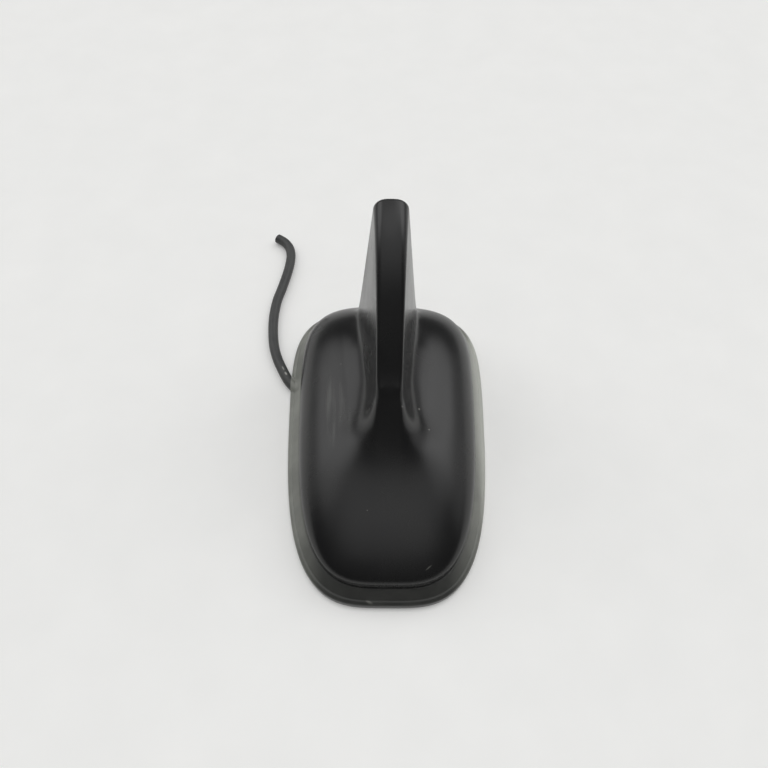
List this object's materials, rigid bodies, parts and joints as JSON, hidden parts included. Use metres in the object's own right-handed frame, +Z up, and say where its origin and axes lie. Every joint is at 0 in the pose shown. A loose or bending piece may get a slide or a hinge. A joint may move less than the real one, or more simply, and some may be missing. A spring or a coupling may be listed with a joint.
{
  "type": "vehicle roof antenna",
  "caption": "Low rounded roof antenna with a tall thin fin at its back, on a soft gasket, with a patch antenna and a fin antenna inside and a cut lead that leaves at its side",
  "frame": {"origin": "middle of the rectangle round the gasket's outline, on the surface that the gasket rests on; the lead is left out of that rectangle", "axes": "+Y points to the rear, where the fin stands; -Y is the low nose; +X is to the right seen from behind the nose; +Z is up"},
  "size_m": [0.0763, 0.1488, 0.0676],
  "materials": {
    "housing_plastic": "fine moulded grain with a soft sheen",
    "gasket_rubber": "soft black rubber with a slight sheen",
    "cast_metal": "as cast, fine grain",
    "brass": "turned, bright",
    "seal_rubber": "soft, matt",
    "board_laminate": "green solder resist, satin",
    "screw_steel": "zinc plated",
    "adhesive_tape": "pale, matt",
    "patch_ceramic": "unglazed, pale grey-brown",
    "silver_layer": "fired silver paste, satin",
    "tinned_brass": "tinned, satin",
    "foam": "open-cell foam, matt",
    "can_metal": "tinned sheet",
    "chip_plastic": "matt epoxy",
    "bracket_plastic": "moulded, satin",
    "copper": "etched copper",
    "contact_metal": "gold flashed spring bronze",
    "lead_jacket": "extruded jacket with a slight sheen"
  },
  "bodies": {
    "root": {"housing": "housing_plastic", "gasket": "gasket_rubber", "base_plate": "cast_metal", "threaded_insert": "brass", "inner_seal": "seal_rubber", "main_board": "board_laminate", "board_screws": "screw_steel", "housing_screws": "screw_steel", "patch_tape": "adhesive_tape", "ceramic_patch": "patch_ceramic", "patch_electrode": "silver_layer", "feed_pin": "tinned_brass", "foam_pad": "foam", "shield_can": "can_metal", "amplifier_chips": "chip_plastic", "fin_bracket": "bracket_plastic", "bracket_screws": "screw_steel", "fin_board": "board_laminate", "fin_radiator": "copper", "fin_contacts": "contact_metal", "fin_foam": "foam", "coax_elbow": "brass", "elbow_seal": "seal_rubber", "cord": "lead_jacket"}
  },
  "joints": []
}
